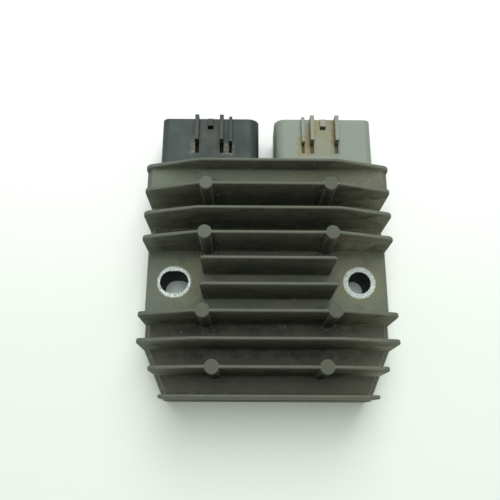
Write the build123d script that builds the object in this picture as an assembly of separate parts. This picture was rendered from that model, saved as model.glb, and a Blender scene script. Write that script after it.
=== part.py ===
from build123d import *
from math import atan, cos, degrees, radians, tan
import os

# A three-phase voltage regulator rectifier. A die-cast aluminium case carries ten cooling fins
# and bolts down by two ears. The electronics lie in a cavity in its back, sealed in resin, and
# two plug-in headers stand side by side at one end.
# Sizes are in millimetres. The origin is on the mounting face, midway between the bolt holes.
# X runs from hole to hole, Y runs towards the headers, and Z runs from the mounting face to the fins.

# Reach of a cutter past what it cuts, and tolerance for picking edges and corners
over = 1.0
tiny = 0.01

# Headers: outer size of one shroud, and where the pair stands
header_width = 44.0
header_height = 22.0
header_gap = 7.2
header_lift = 1.5
header_reach = 25.8
shroud_wall = 2.2
outer_corner_r = 3.2
inner_corner_r = 5.0
partition = 2.5
partition_gap = 0.3
flange_lip = 1.2
flange_thickness = 2.0
header_clearance = 0.15
flange_clearance = 0.3

# Keying ribs and latch catch on top of each shroud, placed from the middle of the shroud outwards
tall_rib_places = (5.9, -5.2)
tall_rib_width = 1.7
tall_rib_height = 4.0
low_rib_place = -9.2
low_rib_width = 1.4
low_rib_height = 2.3
rib_length = 12.3
rib_sink = 0.5
rib_slot_length = 4.8
rib_slot_depth = 1.4
catch_width = 2.5
catch_length = 3.5
catch_height = 1.2
catch_setback = 0.5
catch_pocket = 1.3

# Terminals: three blades share the width inside a shroud, and their tails joggle down to the boards
blade_gap = 3.1
blade_side_gap = 2.45
blade_thickness = 1.2
blade_recess = 5.5
blade_bevel = 1.2
blade_step = 1.25
neck_length = 1.0
joggle_setback = 1.0
joggle_slope = 0.6
foot_length = 6.5
boss_margin = 1.0

# Bolt holes, each placed from its side of the case. The left one is a slot that takes up tolerance
hole_margin = 11.9
hole_land_r = 4.5
hole_land = 9.0
hole_mouth_r = 4.85
slot_play = 2.5

# Stack of boards between the ceiling of the cavity and the resin's face, from the ceiling down
substrate_thickness = 1.0
board_space = 6.7
board_thickness = 1.6
pin_stub = 0.8
resin_cover = 0.8
resin_recess = 0.4
board_margin = 2.0
pocket_setback = 1.0
substrate_setback = 2.7

# Power devices, in a row across the substrate
switch_count = 6
switch_end_margin = 5.4
switch_size = (10.0, 9.0, 4.4)
switch_gap = 2.8
switch_bevel = 0.6
switch_tab = (9.0, 1.2, 1.3)
switch_lead = (0.8, 1.8, 0.5)
switch_lead_pitch = 2.54

# Pieces on the control board, with places from its middle towards the headers
chip_size = (10.3, 7.5, 2.4)
chip_place = 8.0
chip_bevel = 0.3
chip_lead = (0.45, 1.4, 0.9)
chip_lead_pitch = 2.54
chip_leads = 4
capacitor_r = 4.0
capacitor_height = 6.0
capacitor_foot = 1.0
capacitor_rim = 0.2
capacitor_spacing = 14.0
capacitor_place = -10.0
resistor_size = (3.2, 1.6, 0.6)
resistor_pitch = 6.2
resistor_setback = 6.0
pin_width = 0.64
pin_pitch = 5.08
pin_setback = 2.0
pins_in_row = 6

# Casting
side_post = 4.3
end_wall = 4.2
cavity_wall = 4.5
floor_skin = 4.0
ear_step = 1.4
roof = 5.5
ear_boss = 25.0
waist_wall = 5.6
pocket_wall = 2.7
cavity_corner_r = 4.0
end_narrowing = 8.1
end_step = 0.3
bevel_in = 2.3
bevel_drop = 2.8
ear_edge = 0.6

# Fins, counted from the header end. They stand a little proud of the case's sides
fin_count = 10
short_fins = (5, 6)
taper_fin = 8
fin_pitch = 10.65
fin_row_shift = -0.55
fin_tip = 1.2
fin_draft = 2.1
crest_z = 39.3
shoulder_run = 23.35
shoulder_angle = 18.5
bend_r = 12.0
shoulder_r = 4.0
tip_edge = 0.35
root_r = 1.2
stub_rise = 1.5
side_rib = 0.45
side_rib_low = 5.0
low_fin_inset = 0.9
short_fin_gap = 12.6
short_fin_r = 2.0

# Posts: fin number, and distance inwards from the end of the level crest
post_places = ((2, 3.2), (4, 3.2), (7, 3.2), (9, 7.3))
post_r = 2.85
post_rise = 0.2
post_edge = 0.3

# Sizes that follow from the ones above
cavity_z = resin_recess + resin_cover + pin_stub + board_thickness + board_space + substrate_thickness
floor_z = cavity_z + floor_skin
ear_z = floor_z + ear_step
header_top = header_lift + header_height
header_mid_z = header_lift + header_height / 2
header_x = (header_gap + header_width) / 2
pocket_z = header_top + flange_lip + flange_clearance
plateau_z = pocket_z + roof
body_half = header_gap / 2 + header_width + side_post
hole_x = body_half - hole_margin
end_half = body_half - end_narrowing
fin_half = body_half + side_rib
crest_half = fin_half - shoulder_run
short_fin_half = hole_x - short_fin_gap
waist_half = hole_x - hole_mouth_r - waist_wall
blade_width = (header_width - 2 * (shroud_wall + blade_side_gap + blade_gap)) / 3
blade_pitch = blade_width + blade_gap
tail_width = blade_width - 2 * blade_step
long_fins = [n for n in range(1, fin_count + 1) if n not in short_fins]
ear_fins = (short_fins[0] - 1, short_fins[-1] + 1)


def along_x(face, x_from, x_to):
    """Prism of a face drawn in Y and Z."""
    return extrude(Plane.YZ.offset(x_from) * face, amount=x_to - x_from, dir=(1, 0, 0))


def along_y(face, y_from, y_to):
    """Prism of a face drawn in X and Z."""
    return extrude(Plane.XZ.offset(-y_from) * face, amount=y_to - y_from, dir=(0, 1, 0))


def along_z(face, z_from, z_to):
    """Prism of a face drawn in X and Y."""
    return extrude(Plane.XY.offset(z_from) * face, amount=z_to - z_from, dir=(0, 0, 1))


def rectangle(a_from, a_to, b_from, b_to):
    """Rectangular face between two pairs of coordinates."""
    return Polygon((a_from, b_from), (a_to, b_from), (a_to, b_to), (a_from, b_to), align=None)


def mirrored(points):
    """The points, followed by their mirror images in reverse order."""
    return list(points) + [(-a, b) for a, b in reversed(points)]


def fin_y(n):
    """Centre line of fin n."""
    return fin_row_shift + ((fin_count + 1) / 2 - n) * fin_pitch


def fin_half_at(z):
    """Half the thickness of a drafted fin at height z."""
    return fin_tip / 2 + (crest_z - z) * tan(radians(fin_draft))


end_y = fin_y(1) + fin_half_at(0)
wall_y = end_y - end_wall
tail_y = fin_y(fin_count) - fin_tip / 2 - end_step
mouth_y = end_y + header_reach
taper_from = fin_y(taper_fin) - fin_half_at(floor_z)
taper_to = fin_y(fin_count) + fin_half_at(floor_z)
taper_slope = (body_half - end_half) / (taper_from - taper_to)
pocket_y = fin_y(2) + fin_half_at(floor_z) + pocket_setback
substrate_y = pocket_y - substrate_setback
foot_y = substrate_y - foot_length


def body_half_at(y):
    """Half the width of the body, which narrows towards its lower end."""
    return body_half - max(0.0, taper_from - y) * taper_slope


def fin_face(n, low, high):
    """End view of fin n between two heights. The last fin's outer face is upright."""
    y = fin_y(n)
    base, tip = fin_half_at(low), fin_half_at(high)
    outer_base, outer_tip = (fin_tip / 2, fin_tip / 2) if n == fin_count else (base, tip)
    return Polygon((y - outer_base, low), (y + base, low), (y + tip, high), (y - outer_tip, high), align=None)


def shoulder_at(x, inset):
    """Height of the sloping shoulder at x, or of a line inside it by inset."""
    angle = radians(shoulder_angle)
    return crest_z - (x - crest_half) * tan(angle) - inset / cos(angle)


def fin_outline(half, foot_half):
    """Front view of a fin: flat crest, sloping shoulders, rounded corners and ends stepped in at the foot."""
    low_z = side_rib_low - stub_rise
    points = [(foot_half, low_z), (foot_half, side_rib_low), (half, side_rib_low + half - foot_half),
              (half, shoulder_at(half, 0)), (crest_half, crest_z)]
    face = Polygon(*mirrored(points), align=None)
    corners = face.vertices()
    face = fillet(corners.filter_by(lambda v: abs(v.Y - crest_z) < tiny), bend_r)
    corners = face.vertices()
    outer = corners.filter_by(lambda v: abs(abs(v.X) - half) < tiny and v.Y > shoulder_at(half, 0) - tiny)
    return fillet(outer, shoulder_r)


def break_rim(fin, low_z):
    """Breaks the edges of a fin's two broad faces above a height."""
    def on_rim(edge):
        ends = [edge @ 0, edge @ 1]
        runs = abs(ends[0].X - ends[1].X) + abs(ends[0].Z - ends[1].Z) > tiny
        return runs and min(p.Z for p in ends) > low_z and max(p.Z for p in ends) > low_z + tip_edge

    return chamfer(fin.edges().filter_by(on_rim), tip_edge)


def long_fin(n):
    """One fin from side to side, with broken edges. The two last ones end just inside the narrowing body."""
    half = body_half_at(fin_y(n)) - low_fin_inset if n > taper_fin else fin_half
    foot_half = min(half, body_half_at(fin_y(n))) - 2 * side_rib
    low_z, reach = side_rib_low - stub_rise, 2 * fin_half_at(0)
    fin = along_x(fin_face(n, low_z, crest_z), -half, half)
    fin = fin & along_y(fin_outline(half, foot_half), fin_y(n) - reach, fin_y(n) + reach)
    return break_rim(fin, side_rib_low + half - foot_half - tiny)


def short_fin(n):
    """One of the two fins that end beside the bolt ears, with rounded roots along it."""
    reach = 2 * fin_half_at(ear_z)
    outline = rectangle(-short_fin_half, short_fin_half, ear_z - stub_rise, crest_z)
    outline = fillet(outline.vertices().filter_by(lambda v: v.Y > ear_z), short_fin_r)
    fin = along_x(fin_face(n, ear_z - stub_rise, crest_z), -short_fin_half, short_fin_half)
    fin = break_rim(fin & along_y(outline, fin_y(n) - reach, fin_y(n) + reach), ear_z - stub_rise - tiny)
    foot = rectangle(fin_y(n) - reach, fin_y(n) + reach, ear_z - stub_rise, ear_z)
    foot += fin_face(n, ear_z - stub_rise / 2, ear_z + stub_rise)
    inner = foot.vertices().filter_by(lambda v: abs(v.Y - ear_z) < tiny and abs(v.X - fin_y(n)) < 0.9 * reach)
    run = short_fin_half - side_rib
    return [fin, along_x(fillet(inner, root_r), -run, run)]


def case_section():
    """End view of the case: floors, end block and the rounded roots of the long fins."""
    face = rectangle(tail_y, fin_y(1), 0, floor_z)
    face += rectangle(fin_y(ear_fins[1]), fin_y(ear_fins[0]), 0, ear_z)
    face += rectangle(fin_y(2), fin_y(1), 0, plateau_z)
    for n in long_fins:
        foot = 0 if n == 1 else floor_z - stub_rise
        level = plateau_z if n <= 2 else ear_z if n in ear_fins else floor_z
        face += fin_face(n, foot, level + stub_rise)
    levels = (floor_z, ear_z, plateau_z)
    roots = face.vertices().filter_by(
        lambda v: min(abs(v.Y - z) for z in levels) < tiny and tail_y + end_step + tiny < v.X < end_y)
    return fillet(roots, root_r)


def body_outline():
    """Front view that the case keeps inside, so that it ends within the fins' broken edges."""
    points = [(body_half, 0), (body_half, shoulder_at(body_half, side_rib)),
              (crest_half, shoulder_at(crest_half, side_rib))]
    face = Polygon(*mirrored(points), align=None)
    outer = face.vertices().filter_by(lambda v: abs(abs(v.X) - body_half) < tiny and v.Y > tiny)
    return fillet(outer, shoulder_r - side_rib)


def side_face(top, inset, drop):
    """Everything outside a side wall: the wall is upright, then leans in up to a floor at top."""
    high = crest_z + over
    return Polygon((0, -over), (body_half, -over), (body_half, high), (-inset, high), (-inset, top),
                   (0, top - drop), align=None)


def side_cut(top, inset, drop, fin_above, fin_below):
    """Cut for the right-hand side wall between two fins, from face to face at the height of the floor."""
    y_low, y_high = fin_y(fin_below) + fin_half_at(top), fin_y(fin_above) - fin_half_at(top)
    return Pos(body_half, 0, 0) * along_y(side_face(top, inset, drop), y_low, y_high)


def taper_cut():
    """Cut for the right-hand side wall where the body narrows."""
    run = (taper_from - tail_y) * 1.5
    face = side_face(floor_z, bevel_in, bevel_drop)
    turned = Pos(body_half, taper_from, 0) * Rot(0, 0, -degrees(atan(taper_slope))) * along_y(face, -run, run)
    return turned & (Pos(0, taper_from - run, 0) * Box(4 * body_half, 2 * run, 4 * crest_z))


def trimmed_body():
    """The case without its fins, with side walls that lean in to the floors between them."""
    body = along_x(case_section(), -body_half, body_half)
    body = body & along_y(body_outline(), tail_y - over, end_y + over)
    low_channels = [n for n in long_fins if 1 < n < taper_fin and n + 1 in long_fins]
    cuts = [side_cut(floor_z, bevel_in, bevel_drop, n, n + 1) for n in low_channels]
    cuts.append(side_cut(plateau_z, bevel_in, bevel_drop, 1, 2))
    cuts.append(side_cut(ear_z, ear_edge, ear_edge, *ear_fins))
    cuts.append(taper_cut())
    return body - (cuts + [mirror(cut, Plane.YZ) for cut in cuts])


def post(n, x):
    """One round post on a fin, with a broken edge."""
    shaft = along_z(Circle(post_r), floor_z - stub_rise, crest_z + post_rise)
    shaft = chamfer(shaft.edges().group_by(Axis.Z)[-1], post_edge)
    return Pos(x, fin_y(n), 0) * shaft


def hole_cutter(x, play):
    """A bolt hole: a straight land at the mounting face, then a drafted mouth at the ear's upper face."""
    def ring(r):
        return SlotCenterToCenter(play, 2 * r) if play else Circle(r)

    over_r = hole_mouth_r + over * (hole_mouth_r - hole_land_r) / (ear_z - hole_land)
    land = along_z(ring(hole_land_r), -over, hole_land)
    low, high = Plane.XY.offset(hole_land), Plane.XY.offset(ear_z + over)
    mouth = loft([low * ring(hole_land_r), high * ring(over_r)])
    return Pos(x, 0, 0) * (land + mouth)


def cavity_plan():
    """Plan of the shallow cavity: wide at both ends, with a waist between the bolt bosses."""
    top_half = body_half - cavity_wall
    low_y = tail_y + cavity_wall
    points = [(top_half, pocket_y + over), (top_half, ear_boss / 2), (waist_half, ear_boss / 2),
              (waist_half, -ear_boss / 2), (top_half, -ear_boss / 2), (top_half, taper_from),
              (body_half_at(low_y) - cavity_wall, low_y)]
    face = Polygon(*mirrored(points), align=None)
    return fillet(face.vertices().filter_by(lambda v: v.Y < pocket_y), cavity_corner_r)


def cavity():
    """The space in the back of the case: the shallow cavity and the deep pocket behind the headers."""
    pocket_half = body_half - pocket_wall
    shallow = along_z(cavity_plan(), 0, cavity_z)
    deep = along_z(rectangle(-pocket_half, pocket_half, pocket_y, wall_y), 0, pocket_z)
    return shallow + deep


def shroud_face(grow):
    """Front view of one shroud, grown or shrunk all round, with tighter outer than inner corners."""
    half_w, half_h = header_width / 2 + grow, header_height / 2 + grow
    face = rectangle(-half_w, half_w, -half_h, half_h)
    face = fillet(face.vertices().filter_by(lambda v: v.X > 0), outer_corner_r + grow)
    return fillet(face.vertices().filter_by(lambda v: v.X < 0), inner_corner_r + grow)


def neck_face(grow):
    """The same outline with its lower side run down to the resin's face, for the part inside the end wall."""
    half_w, half_h = header_width / 2 + grow, header_height / 2 + grow
    low = resin_recess - header_mid_z
    return (shroud_face(grow) + rectangle(-half_w, half_w, low, 0)) & rectangle(-half_w, half_w, low, half_h)


def header_notch():
    """Opening in the end wall for the right-hand header, open to the mounting face."""
    half_w = header_width / 2 + header_clearance
    face = shroud_face(header_clearance) + rectangle(-half_w, half_w, -header_mid_z - over, 0)
    return Pos(header_x, 0, header_mid_z) * along_y(face, wall_y - over, end_y + over)


def heat_sink_casting():
    """The die-cast case, one piece."""
    pieces = [long_fin(n) for n in long_fins]
    for n in short_fins:
        pieces += short_fin(n)
    pieces += [post(n, side * (crest_half - inwards)) for n, inwards in post_places for side in (-1, 1)]
    case = trimmed_body() + pieces
    notch = header_notch()
    holes = [hole_cutter(hole_x, 0), hole_cutter(-hole_x, slot_play)]
    return case - (holes + [cavity(), notch, mirror(notch, Plane.YZ)])


def terminal(x):
    """Flat blade that joggles down to a soldered foot on the substrate, bent from one strip."""
    half_t = blade_thickness / 2
    blade_z = header_mid_z
    foot_z = cavity_z - substrate_thickness - half_t
    tip_y = mouth_y - blade_recess
    bend_y = wall_y - flange_thickness - joggle_setback
    low_y = bend_y - (blade_z - foot_z) * joggle_slope
    high, low = blade_z + half_t, blade_z - half_t
    foot_high, foot_low = foot_z + half_t, foot_z - half_t
    shift = half_t / 2
    side = Polygon(
        (tip_y, blade_z - half_t / 3), (tip_y, blade_z + half_t / 3), (tip_y - blade_bevel, high),
        (bend_y - shift, high), (low_y - shift, foot_high), (foot_y, foot_high), (foot_y, foot_low),
        (low_y + shift, foot_low), (bend_y + shift, low), (tip_y - blade_bevel, low), align=None)
    neck_y = end_y + neck_length
    plan = rectangle(-tail_width / 2, tail_width / 2, foot_y, neck_y)
    plan += rectangle(-blade_width / 2, blade_width / 2, neck_y, tip_y)
    plan = chamfer(plan.vertices().filter_by(lambda v: v.Y > tip_y - tiny), blade_bevel)
    strip = along_x(side, -blade_width / 2, blade_width / 2) & along_z(plan, 0, header_top)
    return Pos(x, 0, 0) * strip


def header(terminals):
    """Right-hand plug-in header: shroud, partition, neck in the end wall and a flange behind it."""
    back_y = wall_y - flange_thickness
    part_y = end_y + partition_gap
    body = along_y(shroud_face(0), part_y, mouth_y)
    body = body - along_y(shroud_face(-shroud_wall), part_y + partition, mouth_y + over)
    body = body + along_y(neck_face(0), back_y, part_y)
    body = body + along_y(neck_face(flange_lip), back_y, wall_y)
    body = body - along_y(shroud_face(-shroud_wall), back_y - over, part_y)
    for x in (-blade_pitch, 0, blade_pitch):
        half_w, half_h = tail_width / 2 + boss_margin, blade_thickness / 2 + boss_margin
        boss = rectangle(x - half_w, x + half_w, -half_h, half_h)
        body = body + along_y(boss, back_y, part_y + partition)
    top = header_height / 2
    for place, width, height in [(p, tall_rib_width, tall_rib_height) for p in tall_rib_places] + [
            (low_rib_place, low_rib_width, low_rib_height)]:
        rib = rectangle(place - width / 2, place + width / 2, top - rib_sink, top + height)
        slot = rectangle(place - width / 2, place + width / 2, top - rib_slot_depth, top + over)
        body = body + along_y(rib, mouth_y - rib_length, mouth_y)
        body = body - along_y(slot, mouth_y - rib_length - rib_slot_length, mouth_y - rib_length)
    catch_y = mouth_y - catch_setback - catch_length
    catch = rectangle(-catch_width / 2, catch_width / 2, top - rib_sink, top + catch_height)
    hollow = rectangle(-catch_width / 2, catch_width / 2, top - rib_slot_depth, top + over)
    body = body + along_y(catch, catch_y, catch_y + catch_length)
    body = body - along_y(hollow, catch_y - catch_pocket, catch_y)
    body = Pos(header_x, 0, header_mid_z) * body
    return body - terminals


substrate_half = body_half - cavity_wall - board_margin
substrate_low = cavity_z - substrate_thickness


def power_substrate():
    """Insulated board bonded to the ceiling: a wide head and a stem between the bolt bosses."""
    stem_half = waist_half - board_margin
    head_y = ear_boss / 2 + board_margin
    low_y = tail_y + cavity_wall + board_margin
    head = [(substrate_half, substrate_y), (substrate_half, head_y)]
    stem = [(stem_half, head_y), (stem_half, low_y)]
    return along_z(Polygon(*mirrored(head + stem), align=None), substrate_low, cavity_z)


def power_switch(i):
    """Surface-mounted power device: moulded body with sloping sides, a metal tab and three leads."""
    width, depth, height = switch_size
    pitch = 2 * (substrate_half - switch_end_margin - width / 2) / (switch_count - 1)
    y = foot_y - switch_gap - depth / 2
    body = Pos(0, y, substrate_low - height / 2) * Box(width, depth, height)
    body = chamfer(body.faces().sort_by(Axis.Z)[0].edges(), switch_bevel)
    tab_w, tab_l, tab_t = switch_tab
    pieces = [Pos(0, y - depth / 2 - tab_l / 2, substrate_low - tab_t / 2) * Box(tab_w, tab_l, tab_t)]
    lead_w, lead_l, lead_t = switch_lead
    for lead in (-switch_lead_pitch, 0, switch_lead_pitch):
        place = Pos(lead, y + depth / 2 + lead_l / 2, substrate_low - lead_t / 2)
        pieces.append(place * Box(lead_w, lead_l, lead_t))
    return Pos((i - (switch_count - 1) / 2) * pitch, 0, 0) * (body + pieces)


board_top = substrate_low - board_space
board_low = board_top - board_thickness
board_half = waist_half - 2 * board_margin
board_y_high = ear_boss / 2 - board_margin
board_y_low = tail_y + cavity_wall + board_margin + pin_setback / 2
board_middle = (board_y_high + board_y_low) / 2


def board_pins():
    """Two rows of square pins that join the control board to the substrate."""
    pins = Part()
    z_low = board_low - pin_stub
    for y in (board_y_high - pin_setback, board_y_low + pin_setback):
        for i in range(pins_in_row):
            x = (i - (pins_in_row - 1) / 2) * pin_pitch
            pins += Pos(x, y, (z_low + substrate_low) / 2) * Box(pin_width, pin_width, substrate_low - z_low)
    return pins


def control_board(pins):
    """Printed board on its pins."""
    return along_z(rectangle(-board_half, board_half, board_y_low, board_y_high), board_low, board_top) - pins


def control_chip():
    """Flat chip package on the board, with two rows of leads."""
    width, depth, height = chip_size
    lead_w, lead_l, lead_t = chip_lead
    y = board_middle + chip_place
    body = Pos(0, y, board_top + height / 2) * Box(width, depth, height)
    body = chamfer(body.edges().filter_by(Axis.X), chip_bevel)
    leads = []
    for side in (-1, 1):
        for i in range(chip_leads):
            x = (i - (chip_leads - 1) / 2) * chip_lead_pitch
            place = Pos(x, y + side * depth / 2, board_top + lead_t / 2)
            leads.append(place * Box(lead_w, 2 * lead_l, lead_t))
    return body + leads


def filter_capacitor(x):
    """Small can capacitor on a square foot."""
    can = along_z(Circle(capacitor_r - capacitor_rim), capacitor_foot, capacitor_height)
    foot = along_z(Rectangle(2 * capacitor_r, 2 * capacitor_r), 0, capacitor_foot)
    return Pos(x, board_middle + capacitor_place, board_top) * (foot + can)


def gate_resistors():
    """A row of small chip resistors, one for each power device."""
    width, depth, height = resistor_size
    row = Part()
    for i in range(switch_count):
        x = (i - (switch_count - 1) / 2) * resistor_pitch
        row += Pos(x, board_y_high - resistor_setback, board_top + height / 2) * Box(width, depth, height)
    return row


def potting_compound(pieces):
    """Resin that fills the cavity round everything in it, with its face just below the mounting face."""
    gap = along_z(rectangle(-body_half, body_half, tail_y, mouth_y), 0, resin_recess)
    return cavity() - ([gap] + pieces)


output_blades = [terminal(header_x - blade_pitch), terminal(header_x + blade_pitch)]
phase_blades = [terminal(-header_x + i * blade_pitch) for i in (-1, 0, 1)]
output_housing = header(output_blades)
input_housing = mirror(header([mirror(blade, Plane.YZ) for blade in phase_blades]), Plane.YZ)

parts = {
    "heat_sink_casting": heat_sink_casting(),
    "input_connector_housing": input_housing,
    "output_connector_housing": output_housing,
    "power_substrate": power_substrate(),
    "board_pins": board_pins(),
    "control_chip": control_chip(),
    "gate_resistors": gate_resistors(),
}
parts["control_board"] = control_board(parts["board_pins"])
for i, blade in enumerate(phase_blades):
    parts[f"input_terminal_{i + 1}"] = blade
for i, blade in enumerate(output_blades):
    parts[f"output_terminal_{i + 1}"] = blade
for i in range(switch_count):
    parts[f"power_switch_{i + 1}"] = power_switch(i)
for i, side in enumerate((-1, 1)):
    parts[f"filter_capacitor_{i + 1}"] = filter_capacitor(side * capacitor_spacing / 2)
sealed_in = [shape for name, shape in parts.items() if name != "heat_sink_casting"]
parts["potting_compound"] = potting_compound(sealed_in)

os.makedirs("parts", exist_ok=True)
for name, shape in parts.items():
    export_step(shape, f"parts/{name}.step")
    print(name, round(shape.volume / 1000, 2), "cubic centimetres")
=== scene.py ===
"""Voltage regulator rectifier: camera, light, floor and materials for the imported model.

The camera was solved from the photograph. The case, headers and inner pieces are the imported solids,
and each gets a procedural material that reads Object coordinates. Where a material changes along the
object, its mask is a height or a distance from a named place, roughened by noise. Lengths are in
millimetres, unless a name says metres, and colours are linear red, green and blue.
"""

import bpy
from mathutils import Matrix, Vector


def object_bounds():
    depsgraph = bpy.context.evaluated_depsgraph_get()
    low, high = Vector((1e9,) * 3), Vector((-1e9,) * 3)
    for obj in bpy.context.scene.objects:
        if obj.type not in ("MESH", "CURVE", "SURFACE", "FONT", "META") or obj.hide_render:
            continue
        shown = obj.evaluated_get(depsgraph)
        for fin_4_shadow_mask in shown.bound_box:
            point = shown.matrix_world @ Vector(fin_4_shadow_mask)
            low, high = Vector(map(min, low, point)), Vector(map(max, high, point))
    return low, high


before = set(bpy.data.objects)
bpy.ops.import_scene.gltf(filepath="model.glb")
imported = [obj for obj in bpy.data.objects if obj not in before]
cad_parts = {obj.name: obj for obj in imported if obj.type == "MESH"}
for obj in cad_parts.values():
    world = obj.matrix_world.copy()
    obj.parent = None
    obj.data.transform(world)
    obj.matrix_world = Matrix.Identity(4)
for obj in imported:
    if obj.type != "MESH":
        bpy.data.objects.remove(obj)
cad_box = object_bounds()
scene = bpy.context.scene
scene.view_settings.view_transform = "Standard"

MM = 0.001

# Camera, solved from the photograph
CAMERA_AT = (-9.02, -56.71, 249.15)
CAMERA_RIGHT = (0.99995, 0.00391, 0.00841)
CAMERA_UP = (-0.00620, 0.95609, 0.29301)
LENS, SENSOR = 39.88, 36.0
CLIP_METRES = (0.01, 10.0)

# Case: X runs from the slot to the round hole, Y to the headers, Z up from the mounting face
POST_RISE = 0.2
CREST_Z = round(cad_box[1][2] / MM, 1) - POST_RISE
CREST_HALF = 29.0
SHOULDER_SLOPE = 0.3346
EAR_Z = 16.7
FLOOR_Z = 15.3
FIN_1_Y, FIN_PITCH = 47.375, 10.65
WHOLE_PITCHES = 40
POST_R = 2.85

# Two posts stand on each of these fins, given as the fin's number and the posts' X on either side
POSTS = ((2, 25.8), (4, 25.8), (7, 25.8), (9, 21.7))

# Chips and the dark marks and grit beside the posts thin out from the second Y to the first, towards the
# last fin
CLEAN_Y, DIRTY_Y = -34, -16

# Holes in the ears, and the bare rings round them
HOLE_X, HOLE_R = 40.0, 4.5
SLOT_PLAY = 1.25
RING_R, LEFT_RING_R = 6.95, 6.85
LEFT_RING_PLAY = 0.35

# Header on the right, which the left one mirrors: slots behind its ribs as (x, half width), and its catch
HEADER_TOP = 23.5
MOUTH_Y = round(cad_box[1][1] / MM, 1)
RIB_SLOTS = ((31.5, 0.95), (20.4, 0.95), (16.4, 0.8))
RIB_SLOT_Y = (58.0, 63.1)
SLOT_DEPTH = 1.7
CATCH_X, CATCH_HALF = 25.6, 1.35
CATCH_POCKET_Y, CATCH_Y = (69.8, 71.4), (71.1, 74.8)
SOCKET_FLOOR_Z = 3.0

# Floor and light
FLOOR_HALF_METRES = 2.0
FLOOR_DROP = 0.05
FADE_FROM, FADE_TO = 170, 520
WORLD_STRENGTH = 0.30


def fin_y(number):
    """Y of a fin's middle plane, with fin 1 beside the headers and fin 10 at the far end."""
    return FIN_1_Y - (number - 1) * FIN_PITCH


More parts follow.
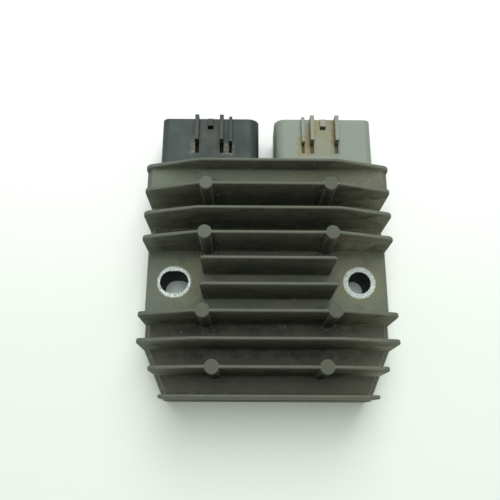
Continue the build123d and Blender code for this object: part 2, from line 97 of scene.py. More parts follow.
class Net:
    """A material's node tree, with short calls for the nodes that are used here.

    place, x, y and z are the Object coordinates in millimetres. nx, ny and nz are the surface normal's
    parts. A mask goes from 0 to 1.
    """

    def __init__(self, name):
        self.material = bpy.data.materials.new(name)
        self.material.use_nodes = True
        self.tree = self.material.node_tree
        self.bsdf = self.tree.nodes["Principled BSDF"]
        coords = self.tree.nodes.new("ShaderNodeTexCoord")
        self.place = self.vector("SCALE", coords.outputs["Object"], 1 / MM)
        self.x, self.y, self.z = self.split(self.place)
        geometry = self.tree.nodes.new("ShaderNodeNewGeometry")
        self.normal = geometry.outputs["Normal"]
        self.nx, self.ny, self.nz = self.split(self.normal)

    def put(self, socket, value):
        """Links a socket to an input, or sets the input to a number or colour."""
        if isinstance(value, bpy.types.NodeSocket):
            self.tree.links.new(value, socket)
        elif isinstance(value, tuple) and len(value) == 3 and socket.type == "RGBA":
            socket.default_value = (*value, 1)
        else:
            socket.default_value = value

    def split(self, vector):
        node = self.tree.nodes.new("ShaderNodeSeparateXYZ")
        self.put(node.inputs[0], vector)
        return node.outputs[0], node.outputs[1], node.outputs[2]

    def vector(self, operation, a, b):
        node = self.tree.nodes.new("ShaderNodeVectorMath")
        node.operation = operation
        self.put(node.inputs[0], a)
        self.put(node.inputs["Scale"] if operation == "SCALE" else node.inputs[1], b)
        return node.outputs[0]

    def math(self, operation, a, b=0.0):
        node = self.tree.nodes.new("ShaderNodeMath")
        node.operation = operation
        self.put(node.inputs[0], a)
        self.put(node.inputs[1], b)
        return node.outputs[0]

    def add(self, a, b):
        return self.math("ADD", a, b)

    def sub(self, a, b):
        return self.math("SUBTRACT", a, b)

    def abs(self, a):
        return self.math("ABSOLUTE", a)

    def mul(self, *values):
        out = values[0]
        for value in values[1:]:
            out = self.math("MULTIPLY", out, value)
        return out

    def most(self, *values):
        out = values[0]
        for value in values[1:]:
            out = self.math("MAXIMUM", out, value)
        return out

    def least(self, *values):
        out = values[0]
        for value in values[1:]:
            out = self.math("MINIMUM", out, value)
        return out

    def length(self, a, b):
        """Length of a step of a along one axis and b along the other."""
        return self.math("SQRT", self.add(self.mul(a, a), self.mul(b, b)))

    def step(self, value, low, high, to_low=0.0, to_high=1.0):
        """Smooth change from to_low to to_high as value goes from low to high."""
        node = self.tree.nodes.new("ShaderNodeMapRange")
        node.interpolation_type = "SMOOTHSTEP"
        names = ("Value", "From Min", "From Max", "To Min", "To Max")
        for name, given in zip(names, (value, low, high, to_low, to_high)):
            self.put(node.inputs[name], given)
        return node.outputs["Result"]

    def band(self, value, rise, full, fall, end):
        """Mask that rises from rise to full, and falls again from fall to end."""
        return self.mul(self.step(value, rise, full), self.step(value, end, fall))

    def noise(self, scale, detail=3.0, rough=0.55, stretch=(1, 1, 1), distortion=0.0, shift=0.0):
        """Noise in about 0 to 1, with scale in lumps per millimetre and a stretch along each axis."""
        node = self.tree.nodes.new("ShaderNodeTexNoise")
        place = self.vector("MULTIPLY", self.place, stretch)
        if shift:
            place = self.vector("ADD", place, (shift, shift, shift))
        self.put(node.inputs["Vector"], place)
        self.put(node.inputs["Scale"], scale)
        self.put(node.inputs["Detail"], detail)
        self.put(node.inputs["Roughness"], rough)
        self.put(node.inputs["Distortion"], distortion)
        return node.outputs["Fac"]

    def ragged(self, scale, detail, rough, shift, reach):
        """Noise about 0 that moves a mask's edge in and out, over reach millimetres in all."""
        return self.mul(self.sub(self.noise(scale, detail, rough, shift=shift), 0.5), reach)

    def cells(self, scale):
        """Distance to the nearest of the scattered points, which lie scale to the millimetre."""
        node = self.tree.nodes.new("ShaderNodeTexVoronoi")
        self.put(node.inputs["Vector"], self.place)
        self.put(node.inputs["Scale"], scale)
        return node.outputs["Distance"]

    def blend(self, kind, factor, a, b):
        """Mix of a and b, both colours or both numbers, with b where the factor is 1."""
        node = self.tree.nodes.new("ShaderNodeMix")
        node.data_type = kind
        node.clamp_factor = True
        socket_type = {"RGBA": "RGBA", "FLOAT": "VALUE"}[kind]
        first, second = [s for s in node.inputs if s.type == socket_type and s.name in ("A", "B")]
        self.put(node.inputs["Factor"], factor)
        self.put(first, a)
        self.put(second, b)
        return next(s for s in node.outputs if s.type == socket_type)

    def mix(self, factor, a, b):
        return self.blend("RGBA", factor, a, b)

    def mix_value(self, factor, a, b):
        return self.blend("FLOAT", factor, a, b)

    def bump(self, height, strength, distance, under=None):
        """Bump from a height in 0 to 1, with the distance in millimetres, on top of the one under it."""
        node = self.tree.nodes.new("ShaderNodeBump")
        self.put(node.inputs["Height"], height)
        self.put(node.inputs["Strength"], strength)
        self.put(node.inputs["Distance"], distance * MM)
        if under is not None:
            self.put(node.inputs["Normal"], under)
        return node.outputs["Normal"]

    def box(self, x0, x1, y0, y1, soft, ragged=None):
        """Mask of a box in X and Y with soft edges, which ragged moves in and out."""
        middle_x, middle_y = (x0 + x1) / 2, (y0 + y1) / 2
        away_x = self.sub(self.abs(self.sub(self.x, middle_x)), (x1 - x0) / 2)
        away_y = self.sub(self.abs(self.sub(self.y, middle_y)), (y1 - y0) / 2)
        away = self.most(away_x, away_y)
        if ragged is not None:
            away = self.add(away, ragged)
        return self.step(away, soft, -soft)

    def boxes(self, ragged, *places):
        """Mask of several boxes, each given as x0, x1, y0, y1 and the softness of its edges."""
        return self.most(*[self.box(*place, ragged) for place in places])

    def round_edges(self, radius):
        """Normals that round every sharp edge by a radius in millimetres, and a mask of those edges."""
        node = self.tree.nodes.new("ShaderNodeBevel")
        node.samples = 6
        self.put(node.inputs["Radius"], radius * MM)
        turned = self.tree.nodes.new("ShaderNodeVectorMath")
        turned.operation = "DOT_PRODUCT"
        self.put(turned.inputs[0], node.outputs["Normal"])
        self.put(turned.inputs[1], self.normal)
        return node.outputs["Normal"], self.step(turned.outputs["Value"], 0.985, 0.90)

    def shade(self, colour, rough, normal=None, metallic=0.0):
        """Puts the looks on the shader's own sockets and returns the material."""
        self.put(self.bsdf.inputs["Base Color"], colour)
        self.put(self.bsdf.inputs["Roughness"], rough)
        self.put(self.bsdf.inputs["Metallic"], metallic)
        if normal is not None:
            self.put(self.bsdf.inputs["Normal"], normal)
        return self.material


class CastingNet(Net):
    """Net of the case's paint, with the patterns and masks that several of its layers read."""

    def __init__(self):
        super().__init__("painted_casting")
        self.grain = self.noise(1.5, 5, 0.7)
        self.blotch = self.noise(0.16, 5, 0.65)
        self.streak = self.noise(0.11, 4, 0.55, stretch=(0.45, 1, 1.2), distortion=0.7)
        # Millimetres by which the large masks' edges wander
        self.wander = self.mul(self.sub(self.blotch, 0.5), 26)
        self.wandering_x = self.add(self.x, self.wander)
        self.side = self.abs(self.x)
        self.up = self.step(self.nz, 0.35, 0.9)
        self.below_crest = self.step(self.z, CREST_Z - 1.0, CREST_Z - 3.0)
        # Outer faces: the back, the sides, the front of the last fin and the underside
        back_or_side = self.step(self.most(self.abs(self.nx), self.ny), 0.4, 0.75)
        front = self.mul(self.step(self.ny, -0.4, -0.75), self.step(self.y, fin_y(10), fin_y(10) - 0.4))
        underside = self.step(self.nz, -0.4, -0.75)
        self.outer = self.most(back_or_side, front, underside)
        self.fin_4_front = self.band(self.y, fin_y(4) - 2.9, fin_y(4) - 1.9, fin_y(4) - 0.4, fin_y(4))

    def hole_distances(self, left_play):
        """Distances in plan from the right hole's axis and from the left slot's middle line.

        The middle line is left_play long each way along X.
        """
        past = self.math("MAXIMUM", self.sub(self.abs(self.add(self.x, HOLE_X)), left_play), 0.0)
        return self.length(self.sub(self.x, HOLE_X), self.y), self.length(past, self.y)

    def post_distance(self):
        """Distance in plan from the axis of the nearest post."""
        return self.least(*[self.length(self.sub(self.side, x), self.sub(self.y, fin_y(number)))
                            for number, x in POSTS])


def paint_on_faces(net):
    """Paint of upright faces, dark in the middle and paler at the ends, with painted light on their upper
    parts, long stains and scuffs.
    """
    middle_dark = (0.056, 0.066, 0.050)
    middle_light = (0.114, 0.126, 0.093)
    end_dark = (0.122, 0.136, 0.094)
    end_light = (0.190, 0.200, 0.140)
    right_pale = (0.330, 0.332, 0.216)
    painted_light_on_upper_faces = (0.172, 0.178, 0.132)
    sixth_pale = (0.150, 0.160, 0.122)
    soil = (0.034, 0.039, 0.031)
    streaked = (0.165, 0.170, 0.125)
    stained = (0.042, 0.049, 0.038)
    scuffed = (0.205, 0.206, 0.160)
    outer_dark = (0.088, 0.098, 0.072)
    outer_light = (0.118, 0.126, 0.094)
    outer_stain = (0.055, 0.062, 0.048)

    patches = net.step(net.blotch, 0.30, 0.68)
    ends = net.step(net.add(net.side, net.wander), 20, 40)
    pale = net.mix(patches, end_dark, end_light)
    pale = net.mix(net.step(net.wandering_x, 18, 42, 0, 0.9), pale, right_pale)
    colour = net.mix(ends, net.mix(patches, middle_dark, middle_light), pale)
    # Painted light: the upper parts of the faces are painted paler, which leaves the lower parts darker as
    # painted shade
    upper_light_mask = net.mul(net.step(net.z, 20, 36), net.mix_value(ends, 0.42, 0.66))
    colour = net.mix(upper_light_mask, colour, painted_light_on_upper_faces)

    # Fin 4 is soiled on its left and a little at its right end, and the channel of fins 6 and 7 is paler
    soiled = net.most(net.mul(net.band(net.x, -49, -44, -27, -20), 0.74), net.step(net.x, 33, 38, 0, 0.25))
    colour = net.mix(net.mul(net.fin_4_front, soiled), colour, soil)
    sixth = net.band(net.y, fin_y(7), fin_y(7) + 2.5, fin_y(6) + 1.4, fin_y(6) + 3.9)
    colour = net.mix(net.mul(sixth, 0.35), colour, sixth_pale)

    stain = net.noise(0.10, 4, 0.6, stretch=(0.6, 1, 1.2), distortion=1.0, shift=60)
    colour = net.mix(net.step(net.streak, 0.50, 0.74, 0, 0.5), colour, streaked)
    colour = net.mix(net.step(stain, 0.46, 0.70, 0, 0.65), colour, stained)

    # Calmer paint on the back, the sides, the front and the underside
    calm = net.mix(net.step(net.blotch, 0.3, 0.7), outer_dark, outer_light)
    calm = net.mix(net.step(stain, 0.42, 0.75, 0, 0.45), calm, outer_stain)
    colour = net.mix(net.mul(net.outer, 0.85), colour, calm)

    scuff = net.noise(0.40, 4, 0.6, stretch=(0.14, 1, 1.0), distortion=0.3, shift=15)
    return net.mix(net.step(scuff, 0.60, 0.70, 0, 0.5), colour, scuffed)


def dust_on_tops(net):
    """Dust on the raised end block and the ears, yellower near the holes, with a painted shadow under fin 4.
    """
    green_dust = (0.124, 0.148, 0.108)
    pale_dust = (0.158, 0.168, 0.120)
    thin_dust = (0.088, 0.102, 0.078)
    olive = (0.126, 0.125, 0.082)
    pale_left = (0.200, 0.222, 0.146)
    glow = (0.158, 0.182, 0.102)
    cool_tone = (0.122, 0.158, 0.132)
    painted_shadow_under_fin_4 = (0.050, 0.058, 0.048)

    patch = net.noise(0.045, 3, 0.5, shift=40)
    colour = net.mix(net.step(patch, 0.35, 0.65), green_dust, pale_dust)
    colour = net.mix(net.step(net.blotch, 0.46, 0.72, 0, 0.6), colour, thin_dust)
    block = net.step(net.y, fin_y(2) - 0.7, fin_y(2) + 1.3)
    colour = net.mix(net.mul(block, net.step(net.x, -10, 20), 0.6), colour, olive)
    colour = net.mix(net.mul(block, net.step(net.x, -36, -48), 0.55), colour, pale_left)

    right, left = net.hole_distances(LEFT_RING_PLAY)
    near_right = net.step(net.add(right, net.wander), 12.0, 6.5)
    near_left = net.step(net.add(left, net.wander), 12.5, 6.5)
    colour = net.mix(net.mul(net.most(near_right, near_left), 0.6), colour, glow)
    cool = net.step(net.add(net.x, net.mul(net.wander, 0.3)), -40, -47)
    colour = net.mix(net.mul(cool, 0.6), colour, cool_tone)
    # Painted shadow: the ears and the end block under fin 4 are painted darker, more on the left
    fin_4_shadow_mask = net.mul(net.step(net.y, fin_y(4) - 6.4, fin_y(4) - 1.6),
                     net.step(net.z, EAR_Z + 3.0, EAR_Z + 1.0), net.step(net.x, -15, 35, 0.75, 0.4))
    return net.mix(fin_4_shadow_mask, colour, painted_shadow_under_fin_4)


def dirt_and_shade_in_channels(net):
    """Floors between the fins, darkened as dirt and as painted shade of the deep channels, with a cool
    painted shadow by one fin and olive by the next, lighter at the ends.
    """
    dark = (0.036, 0.043, 0.035)
    light = (0.068, 0.076, 0.062)
    streaked = (0.100, 0.102, 0.078)
    last_channel = (0.120, 0.122, 0.094)
    cool = (0.040, 0.049, 0.047)
    olive = (0.112, 0.116, 0.078)
    right_pale = (0.135, 0.138, 0.104)
    left_pale = (0.120, 0.124, 0.096)
    second_dark = (0.014, 0.018, 0.014)

    colour = net.mix(net.step(net.blotch, 0.38, 0.62), dark, light)
    colour = net.mix(net.step(net.streak, 0.48, 0.70, 0, 0.7), colour, streaked)
    colour = net.mix(net.step(net.y, fin_y(9) + 0.8, fin_y(9) - 4.2, 0, 0.6), colour, last_channel)
    # Painted shadow: a cool dark strip on the floor along the front of each fin, paler olive further on
    across = net.math("FRACT", net.mul(net.sub(FIN_1_Y, net.y), 1 / FIN_PITCH))
    colour = net.mix(net.step(across, 0.40, 0.10, 0, 0.5), colour, cool)
    across = net.add(across, net.mul(net.wander, 0.02))
    colour = net.mix(net.step(across, 0.32, 0.60, 0, 0.5), colour, olive)
    colour = net.mix(net.step(net.wandering_x, 22, 52, 0, 0.8), colour, right_pale)
    colour = net.mix(net.step(net.wandering_x, -32, -56, 0, 0.4), colour, left_pale)
    second = net.mul(net.step(net.y, fin_y(3), fin_y(3) + 2.0), net.band(net.x, -12, 4, 28, 36))
    return net.mix(net.mul(second, 0.6), colour, second_dark)


def grain_of_casting(net, colour):
    """Fine pale and dark grain of the cast surface."""
    raised = (0.235, 0.240, 0.190)
    sunk = (0.028, 0.031, 0.024)
    colour = net.mix(net.step(net.grain, 0.54, 0.80, 0, 0.5), colour, raised)
    return net.mix(net.step(net.grain, 0.46, 0.22, 0, 0.6), colour, sunk)


def worn_crests(net, colour):
    """Crests and post tops, worn smooth. A crest is level in the middle and slopes at the shoulders."""
    crest_back = (0.126, 0.139, 0.112)
    crest_front = (0.104, 0.112, 0.089)
    disc_front = (0.086, 0.094, 0.070)
    disc_back = (0.116, 0.130, 0.104)
    disc_right = (0.074, 0.084, 0.060)
    past = net.math("MAXIMUM", net.sub(net.side, CREST_HALF), 0.0)
    below = net.sub(net.sub(CREST_Z, net.mul(past, SHOULDER_SLOPE)), net.z)
    crest = net.mul(net.step(below, 0.55, 0.1),
                    net.step(net.noise(0.22, 4, 0.7, shift=9), 0.3, 0.6, 0.3, 1.0))
    worn = net.mix(net.step(net.y, 0, -20), crest_back, crest_front)
    colour = net.mix(net.mul(crest, 0.8), colour, worn)
    disc = net.mul(net.step(net.z, CREST_Z + 0.05, CREST_Z + 0.15), net.up)
    aged = net.mix(net.step(net.y, -35, 30), disc_front, disc_back)
    aged = net.mix(net.step(net.x, -5, 5, 0, 0.7), aged, disc_right)
    return net.mix(net.mul(disc, 0.8), colour, aged)


def rubbed_and_highlit_edges(net, colour, edge):
    """Edges painted paler, as rubbed wear and as painted highlight, here more and there less."""
    rubbed_and_highlit = (0.205, 0.212, 0.172)
    here = net.step(net.noise(0.5, 4, 0.7, shift=27), 0.35, 0.62, 0.1, 1.0)
    return net.mix(net.mul(edge, here, 0.6), colour, rubbed_and_highlit)


def dust_at_roots(net, colour):
    """Tan dust at the fins' roots, and cooler, smoother paint on the fins' ends."""
    tan = (0.175, 0.155, 0.105)
    cool = (0.118, 0.142, 0.118)
    # Distance along Y from fin 1's middle plane, plus whole pitches that keep it above 0
    along = net.add(net.sub(net.y, FIN_1_Y), WHOLE_PITCHES * FIN_PITCH)
    from_fin = net.math("PINGPONG", along, FIN_PITCH / 2)
    root = net.mul(net.step(net.z, FLOOR_Z + 4.0, FLOOR_Z + 0.5), net.step(from_fin, 3.6, 1.4),
                   net.step(net.noise(0.4, 5, 0.75, shift=3), 0.45, 0.70))
    colour = net.mix(net.mul(root, 0.7), colour, tan)
    return net.mix(net.step(net.side, 49.0, 51.8, 0, 0.5), colour, cool)


def rough_bevels(net, colour):
    """Rough bevels at the channels' ends, painted paler along their upper and lower edges, as rubbed wear
    and as painted highlight.
    """
    light = (0.140, 0.148, 0.112)
    dark = (0.070, 0.080, 0.060)
    rubbed_and_highlit = (0.225, 0.230, 0.178)
    bevel = net.mul(net.step(net.abs(net.nx), 0.3, 0.5), net.step(net.nz, 0.3, 0.5),
                    net.step(net.z, EAR_Z + 0.3, EAR_Z - 0.3))
    coarse = net.noise(0.8, 4, 0.75, shift=71)
    colour = net.mix(net.mul(bevel, 0.8), colour, net.mix(net.step(coarse, 0.42, 0.58), light, dark))
    # Painted highlight, partly rubbed wear: the bevels' upper and lower edges are painted paler
    upper_edge = net.step(net.z, FLOOR_Z - 0.8, FLOOR_Z - 0.5)
    lower_edge = net.step(net.z, FLOOR_Z - 1.9, FLOOR_Z - 2.3)
    edges = net.mul(net.most(upper_edge, lower_edge), net.step(coarse, 0.66, 0.42, 0.15, 1.0))
    return net.mix(net.mul(bevel, edges, 0.75), colour, rubbed_and_highlit)


def posts_painted_light_and_marks(net, colour):
    """Posts with painted shade on their fronts and painted highlight on their flanks, dark marks and grit
    beside them, and a rusty mark on fin 4.
    """
    painted_shade_post_front = (0.040, 0.046, 0.037)
    painted_highlight_post_flank = (0.230, 0.235, 0.185)
    dark_mark_colour = (0.017, 0.020, 0.016)
    rust = (0.235, 0.140, 0.088)
    grit_painted_lit_on_faces = (0.58, 0.56, 0.43)
    grit_on_tops = (0.30, 0.29, 0.22)

    nearest = net.post_distance()
    # Painted light: the posts' fronts are painted darker as shade and their flanks paler as highlights
    shaft = net.mul(net.step(nearest, POST_R + 0.35, POST_R + 0.15), net.below_crest,
                    net.step(net.grain, 0.3, 0.6, 0.3, 0.7))
    colour = net.mix(shaft, colour, net.mix(net.step(net.abs(net.nx), 0.5, 0.8), painted_shade_post_front, painted_highlight_post_flank))

    ragged = net.ragged(0.35, 4, 0.7, 44, 7)
    beside = net.mul(net.step(nearest, POST_R + 0.1, POST_R + 0.35),
                     net.step(net.add(nearest, ragged), 8.5, 4.0),
                     net.below_crest, net.step(net.y, CLEAN_Y, DIRTY_Y, 0.35, 1.0))
    # Dark ragged marks beside the posts, stronger between the posts than beyond them
    dark_marks_by_posts = net.mul(beside, net.step(net.noise(0.8, 5, 0.75, distortion=1.5, shift=33), 0.46, 0.55),
                    net.step(net.side, 27, 24, 0.6, 1.0))
    colour = net.mix(net.mul(dark_marks_by_posts, 0.85), colour, dark_mark_colour)

    # The rusty mark lies beside fin 4's right post and widens upwards
    slanted_x = net.add(net.x, net.mul(net.sub(36, net.z), 0.35))
    mark = net.mul(net.step(net.x, 28.4, 29.0), net.step(slanted_x, 34.5, 32.5),
                   net.band(net.z, 28, 31, 35.5, 37), net.fin_4_front,
                   net.step(net.noise(1.1, 4, 0.75, shift=83), 0.40, 0.50))
    colour = net.mix(net.mul(mark, 0.8), colour, rust)

    upper_right = net.mul(net.step(net.x, 33, 40), net.step(net.y, 5, 12), net.below_crest,
                          net.step(net.outer, 0.5, 0.1), 0.7)
    grit = net.mul(net.most(beside, upper_right), net.step(net.cells(0.8), 0.34, 0.18),
                   net.step(net.noise(0.3, 4, 0.7, shift=51), 0.44, 0.54))
    # Painted light: grit on upright faces is painted about twice as pale as on tops, so that it reads bright
    # in the faces' shade
    return net.mix(net.mul(grit, 0.65), colour, net.mix(net.up, grit_painted_lit_on_faces, grit_on_tops))


def chips(net, colour):
    """Pale specks and chips, fewer on the last fins."""
    bare = (0.48, 0.49, 0.45)
    mask = net.mul(net.step(net.cells(0.42), 0.13, 0.06),
                   net.step(net.noise(0.10, 3, 0.6, shift=21), 0.53, 0.63),
                   net.step(net.y, CLEAN_Y, DIRTY_Y, 0.25, 1.0))
    return net.mix(mask, colour, bare)


def bolt_rings(net, colour):
    """Bare speckled metal where the bolt heads sat, and dark bores. It returns the rings' mask too."""
    metal_left = (0.68, 0.76, 0.71)
    metal_right = (0.56, 0.63, 0.58)
    speck = (0.135, 0.170, 0.155)
    bore = (0.030, 0.038, 0.035)
    ragged = net.ragged(2.6, 5, 0.85, 5, 3.0)
    right, left = net.hole_distances(LEFT_RING_PLAY)
    right_ring = net.step(net.add(right, ragged), RING_R + 0.25, RING_R - 0.25)
    left_ring = net.step(net.add(left, ragged), LEFT_RING_R + 0.25, LEFT_RING_R - 0.25)
    on_ear = net.band(net.z, EAR_Z - 0.6, EAR_Z - 0.3, EAR_Z + 0.25, EAR_Z + 0.5)
    ring = net.mul(net.most(right_ring, left_ring), on_ear)
    metal = net.mix(net.step(net.x, -10, 10), metal_left, metal_right)
    metal = net.mix(net.step(net.noise(2.5, 4, 0.75, shift=2), 0.42, 0.56), speck, metal)
    colour = net.mix(ring, colour, metal)

    bore_edge = (HOLE_R + 0.8, HOLE_R + 0.7)
    right, left = net.hole_distances(SLOT_PLAY)
    inside = net.mul(net.most(net.step(right, *bore_edge), net.step(left, *bore_edge)),
                     net.step(net.z, EAR_Z - 0.15, EAR_Z - 0.9))
    return net.mix(inside, colour, bore), ring


def casting_material():
    """Matt olive-grey paint on a rough casting, dusty on top, worn on crests and bare round the holes."""
    net = CastingNet()
    # Channel floors are painted darker than the other tops, as dirt and as painted shade
    channel = net.band(net.z, 4.0, 6.0, EAR_Z - 0.9, EAR_Z - 0.4)
    tops = net.mix(channel, dust_on_tops(net), dirt_and_shade_in_channels(net))
    colour = net.mix(net.mul(net.up, 0.95), paint_on_faces(net), tops)
    colour = worn_crests(net, grain_of_casting(net, colour))
    rounded, edge = net.round_edges(0.45)
    colour = dust_at_roots(net, rubbed_and_highlit_edges(net, colour, edge))
    colour = chips(net, posts_painted_light_and_marks(net, rough_bevels(net, colour)))
    colour, ring = bolt_rings(net, colour)
    rough = net.mix_value(ring, net.step(net.grain, 0.3, 0.7, 0.60, 0.82), 0.45)
    relief = net.add(net.mul(net.grain, 0.75), net.mul(net.cells(1.3), 0.25))
    normal = net.bump(relief, 0.55, 0.16, net.bump(net.blotch, 0.4, 0.3, rounded))
    net.put(net.bsdf.inputs["Specular IOR Level"], 0.22)
    return net.shade(colour, rough, normal, net.mul(ring, 0.15))


def stains_on_grey(net, colour, top, ragged, specks):
    """Olive film, ochre, rust by the ribs, painted shade with some soil by the slots and a cleaner catch on
    the right header.
    """
    film = (0.218, 0.220, 0.122)
    ochre = (0.265, 0.220, 0.085)
    faded_rust = (0.262, 0.198, 0.082)
    rust = (0.185, 0.092, 0.024)
    soil = (0.135, 0.135, 0.095)
    bare = (0.33, 0.31, 0.25)

    filmed = net.boxes(ragged, (20.8, 30.8, 57, 77, 1.8), (14.0, 20.0, 56.5, 66, 0.9))
    uneven = net.step(net.noise(0.3, 4, 0.6, shift=17), 0.3, 0.6, 0.45, 0.85)
    colour = net.mix(net.mul(filmed, top, uneven), colour, film)
    yellow = net.boxes(ragged, (21.3, 24.0, 68, 76, 0.8), (14.0, 17.6, 56.8, 59.5, 0.7),
                       (14.2, 15.8, 58, 67, 0.7))
    colour = net.mix(net.mul(yellow, top, specks, 0.85), colour, ochre)
    lanes = net.boxes(ragged, (17.6, 19.6, 57.5, 73, 0.5), (29.4, 30.8, 62, 74, 0.5))
    lanes = net.mul(lanes, top, net.step(net.y, 73, 64, 0.5, 1.0))
    colour = net.mix(net.mul(lanes, 0.7), colour, faded_rust)
    colour = net.mix(net.mul(lanes, net.step(specks, 0.35, 0.95), 0.85), colour, rust)
    # Painted shade, with some soil, round the ends of the rib slots
    shade_and_soil_by_slots = net.boxes(ragged, (29.4, 33.2, 57.4, 63.6, 1.0), (18.9, 22.0, 57.4, 63.6, 0.8))
    colour = net.mix(net.mul(shade_and_soil_by_slots, top, 0.45), colour, soil)
    catch = net.mul(net.box(CATCH_X - CATCH_HALF, CATCH_X + CATCH_HALF, *CATCH_Y, 0.2),
                    net.step(net.z, HEADER_TOP + 0.1, HEADER_TOP + 0.3))
    return net.mix(net.mul(catch, 0.55), colour, bare)


def dirt_on_black(net, colour, top, ragged, specks):
    """Dull haze between the ribs, a thin film under the catch and tan dust by the left header's slots."""
    left_dark = (0.015, 0.028, 0.022)
    haze = (0.034, 0.042, 0.032)
    film = (0.16, 0.155, 0.115)
    tan = (0.29, 0.255, 0.175)
    colour = net.mix(net.step(net.x, -36, -26, 0, 0.8), colour, left_dark)
    colour = net.mix(net.mul(net.box(-31, -19, 57, 75, 1.5, ragged), top, 0.65), colour, haze)
    filmed = net.boxes(ragged, (-31, -27.4, 65.5, 72, 0.8), (-24, -21.8, 66, 72, 0.8))
    colour = net.mix(net.mul(filmed, top, net.step(specks, 0.6, 1.0), 0.3), colour, film)
    wedge = net.mul(net.box(-34.2, -32.2, 57.8, 67, 0.5, ragged), net.step(net.y, 66.5, 58.5, 0.4, 1.0))
    dusty = net.most(wedge, net.mul(net.box(-20.4, -14.8, 57.2, 63.2, 0.6, ragged), 0.5))
    return net.mix(net.mul(dusty, top, net.step(specks, 0.5, 0.95), 0.9), colour, tan)


def moulding_material(name, side, low, high, dust, slot_dirt_and_shade, dirt):
    """Moulded plastic of a header, with dust, scuffs, the dirt that lies round its ribs, painted shade in
    its slots and painted highlight on its edges.

    side is 1 for the header on the right and -1 for its mirror image on the left. slot_dirt_and_shade is the
    colour of its slots, as dirt and as painted shade, and dirt is the function that lays the rest of the
    dirt on.
    """
    shade_in_socket = (0.02, 0.022, 0.02)
    net = Net(name)
    blotch = net.noise(0.12, 4, 0.55)
    fine = net.noise(1.9, 5, 0.65)
    up = net.step(net.nz, 0.3, 0.9)
    colour = net.mix(net.step(blotch, 0.3, 0.7), low, high)
    colour = net.mix(net.mul(up, net.step(net.noise(0.2, 5, 0.65, shift=7), 0.4, 0.8), 0.6), colour, dust)
    colour = net.mix(net.step(fine, 0.55, 0.8, 0, 0.25), colour, dust)

    top = net.step(net.z, HEADER_TOP - 2.2, HEADER_TOP - 0.8)
    ragged = net.ragged(0.5, 5, 0.75, 11, 4.5)
    specks = net.step(net.noise(1.9, 4, 0.7, shift=31), 0.42, 0.58, 0.2, 1.0)
    colour = dirt(net, colour, top, ragged, specks)

    places = [(x, half, *RIB_SLOT_Y) for x, half in RIB_SLOTS] + [(CATCH_X, CATCH_HALF, *CATCH_POCKET_Y)]
    slots = net.most(*[net.box(side * x - half, side * x + half, y0, y1, 0.1) for x, half, y0, y1 in places])
    # Painted shade: the slots' walls and floors are painted with the dark slot colour
    deep = net.mul(slots, net.step(net.z, HEADER_TOP - 0.1, HEADER_TOP - 0.7),
                   net.step(net.z, HEADER_TOP - SLOT_DEPTH - 0.2, HEADER_TOP - SLOT_DEPTH))
    colour = net.mix(net.mul(deep, 0.9), colour, slot_dirt_and_shade)
    between_walls = net.band(net.z, SOCKET_FLOOR_Z, SOCKET_FLOOR_Z + 0.5, HEADER_TOP - 2.4, HEADER_TOP - 2.0)
    in_socket = net.mul(net.step(net.y, MOUTH_Y - 0.4, MOUTH_Y - 3.0), between_walls)
    colour = net.mix(net.mul(in_socket, 0.35), colour, shade_in_socket)

    rounded, edge = net.round_edges(0.25)
    # Edges painted paler, partly as dust and partly as painted highlight
    colour = net.mix(net.mul(edge, 0.35), colour, dust)
    net.put(net.bsdf.inputs["Specular IOR Level"], net.mix_value(deep, 0.3, 0.02))
    relief = net.add(net.mul(fine, 0.6), net.mul(blotch, 0.4))
    return net.shade(colour, net.step(blotch, 0.3, 0.7, 0.42, 0.60), net.bump(relief, 0.4, 0.06, rounded))


def plain_material(name, low, high, rough, scale=0.6, metallic=0.0, bump=0.03):
    """A material of two near colours, with fine grain in its colour, roughness and relief."""
    net = Net(name)
    blotch = net.noise(scale, 4, 0.6)
    fine = net.noise(3.0, 4, 0.6, shift=13)
    colour = net.mix(net.step(blotch, 0.3, 0.7), low, high)
    colour = net.mix(net.step(fine, 0.55, 0.85, 0, 0.3), colour, high)
    roughness = net.step(fine, 0.3, 0.7, rough, rough + 0.12)
    return net.shade(colour, roughness, net.bump(fine, 0.4, bump), metallic)


def dress(nodes, material):
    """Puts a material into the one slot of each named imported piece."""
    for name in nodes:
        mesh = bpy.data.objects[name].data
        mesh.materials.clear()
        mesh.materials.append(material)


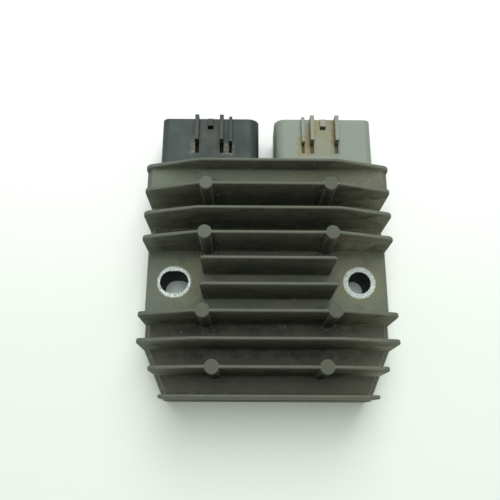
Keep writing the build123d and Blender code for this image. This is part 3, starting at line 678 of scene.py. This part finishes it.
def dress_pieces():
    """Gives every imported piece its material."""
    dress(["heat_sink_casting"], casting_material())
    dress(["input_connector_housing"],
          moulding_material("black_moulding", -1, low=(0.026, 0.041, 0.037), high=(0.037, 0.054, 0.049),
                            dust=(0.060, 0.072, 0.064), slot_dirt_and_shade=(0.007, 0.008, 0.007), dirt=dirt_on_black))
    dress(["output_connector_housing"],
          moulding_material("grey_moulding", 1, low=(0.205, 0.248, 0.206), high=(0.238, 0.276, 0.230),
                            dust=(0.275, 0.290, 0.236), slot_dirt_and_shade=(0.120, 0.115, 0.078), dirt=stains_on_grey))
    blades = [f"input_terminal_{i}" for i in (1, 2, 3)] + [f"output_terminal_{i}" for i in (1, 2)]
    dress(blades + ["board_pins"],
          plain_material("tin_plate", (0.55, 0.54, 0.50), (0.72, 0.71, 0.67), 0.28, 0.5, 1.0, bump=0.01))
    dress(["power_substrate"], plain_material("ceramic_board", (0.74, 0.74, 0.71), (0.84, 0.84, 0.82), 0.5))
    dress(["control_board"], plain_material("printed_board", (0.03, 0.14, 0.06), (0.05, 0.18, 0.08), 0.35))
    dress(["control_chip"] + [f"power_switch_{i}" for i in range(1, 7)],
          plain_material("device_moulding", (0.025, 0.025, 0.026), (0.04, 0.04, 0.042), 0.5))
    dress(["gate_resistors"],
          plain_material("resistor_ceramic", (0.10, 0.10, 0.11), (0.15, 0.15, 0.16), 0.25))
    dress(["filter_capacitor_1", "filter_capacitor_2"],
          plain_material("capacitor_can", (0.66, 0.67, 0.70), (0.80, 0.81, 0.83), 0.25, 0.5, 1.0, bump=0.01))
    dress(["potting_compound"],
          plain_material("potting_resin", (0.014, 0.014, 0.016), (0.036, 0.036, 0.038), 0.35, scale=0.05))


def add_camera():
    """Camera at the photograph's place and angle."""
    data = bpy.data.cameras.new("camera")
    data.sensor_width = SENSOR
    data.lens = LENS
    data.clip_start, data.clip_end = CLIP_METRES
    obj = bpy.data.objects.new("camera", data)
    right, up = Vector(CAMERA_RIGHT).normalized(), Vector(CAMERA_UP)
    up = (up - right * up.dot(right)).normalized()
    back = right.cross(up)
    rows = [(right[i], up[i], back[i], CAMERA_AT[i] * MM) for i in range(3)]
    obj.matrix_world = Matrix((*rows, (0, 0, 0, 1)))
    scene.collection.objects.link(obj)
    scene.camera = obj


def seen_or_mirrored(tree):
    """1 for rays from the camera, from a mirroring face or through a clear one, and 0 for the others."""
    path = tree.nodes.new("ShaderNodeLightPath")
    seen = path.outputs["Is Camera Ray"]
    for name in ("Is Glossy Ray", "Is Transmission Ray"):
        either = tree.nodes.new("ShaderNodeMath")
        either.operation = "MAXIMUM"
        tree.links.new(seen, either.inputs[0])
        tree.links.new(path.outputs[name], either.inputs[1])
        seen = either.outputs[0]
    return seen


def add_floor():
    """Plain paper a hair below the mounting face, a little greener towards the camera's lower edge and
    darker there as a painted light falloff.

    It has a painted shadow below the bolt holes, greyer there. Far from the part it turns to plain white
    wherever it is seen.
    """
    painted_dim_paper = (0.87, 0.95, 0.86)
    painted_bright_paper = (0.96, 0.985, 0.955)
    painted_shadow_under_holes = (0.62, 0.72, 0.68)
    half, low = FLOOR_HALF_METRES, -FLOOR_DROP * MM
    mesh = bpy.data.meshes.new("floor")
    mesh.from_pydata([(-half, -half, low), (half, -half, low), (half, half, low), (-half, half, low)], [],
                     [(0, 1, 2, 3)])
    obj = bpy.data.objects.new("floor", mesh)
    scene.collection.objects.link(obj)
    net = Net("floor_paper")
    # Painted light falloff: the paper is painted darker and greener towards the camera's lower edge
    colour = net.mix(net.step(net.y, -40, 70), painted_dim_paper, painted_bright_paper)
    # Painted shadow: the paper is greyer below the bolt holes, under the case
    colour = net.mix(net.box(-48, 48, -8, 8, 2.0), colour, painted_shadow_under_holes)
    net.put(net.bsdf.inputs["Specular IOR Level"], 0.1)
    net.shade(colour, 0.9)
    nodes, links = net.tree.nodes, net.tree.links
    white, blend = nodes.new("ShaderNodeEmission"), nodes.new("ShaderNodeMixShader")
    far = net.step(net.length(net.x, net.y), FADE_FROM, FADE_TO)
    net.put(blend.inputs[0], net.mul(seen_or_mirrored(net.tree), far))
    links.new(net.bsdf.outputs[0], blend.inputs[1])
    links.new(white.outputs[0], blend.inputs[2])
    links.new(blend.outputs[0], nodes["Material Output"].inputs["Surface"])
    mesh.materials.append(net.material)


def area_light(name, at, size, power):
    """Soft light that points at the origin, with its place and size in metres."""
    data = bpy.data.lights.new(name, "AREA")
    data.shape = "RECTANGLE"
    data.size, data.size_y = size
    data.energy = power
    obj = bpy.data.objects.new(name, data)
    obj.location = at
    obj.rotation_euler = (-Vector(at)).to_track_quat("-Z", "Y").to_euler()
    scene.collection.objects.link(obj)


def add_world():
    """White world: of its own strength as a light, and plain white wherever it is seen or mirrored."""
    world = bpy.data.worlds.new("studio")
    world.use_nodes = True
    nodes, links = world.node_tree.nodes, world.node_tree.links
    background = nodes["Background"]
    background.inputs["Color"].default_value = (1, 1, 1, 1)
    level = nodes.new("ShaderNodeMapRange")
    level.inputs["To Min"].default_value = WORLD_STRENGTH
    level.inputs["To Max"].default_value = 1.0
    links.new(seen_or_mirrored(world.node_tree), level.inputs["Value"])
    links.new(level.outputs["Result"], background.inputs["Strength"])
    scene.world = world


dress_pieces()
add_camera()
add_floor()
add_world()
area_light("top_light", at=(0.0, 0.13, 0.90), size=(0.6, 0.6), power=5.0)
area_light("back_light", at=(0.12, 0.55, 0.70), size=(0.6, 0.4), power=2.5)
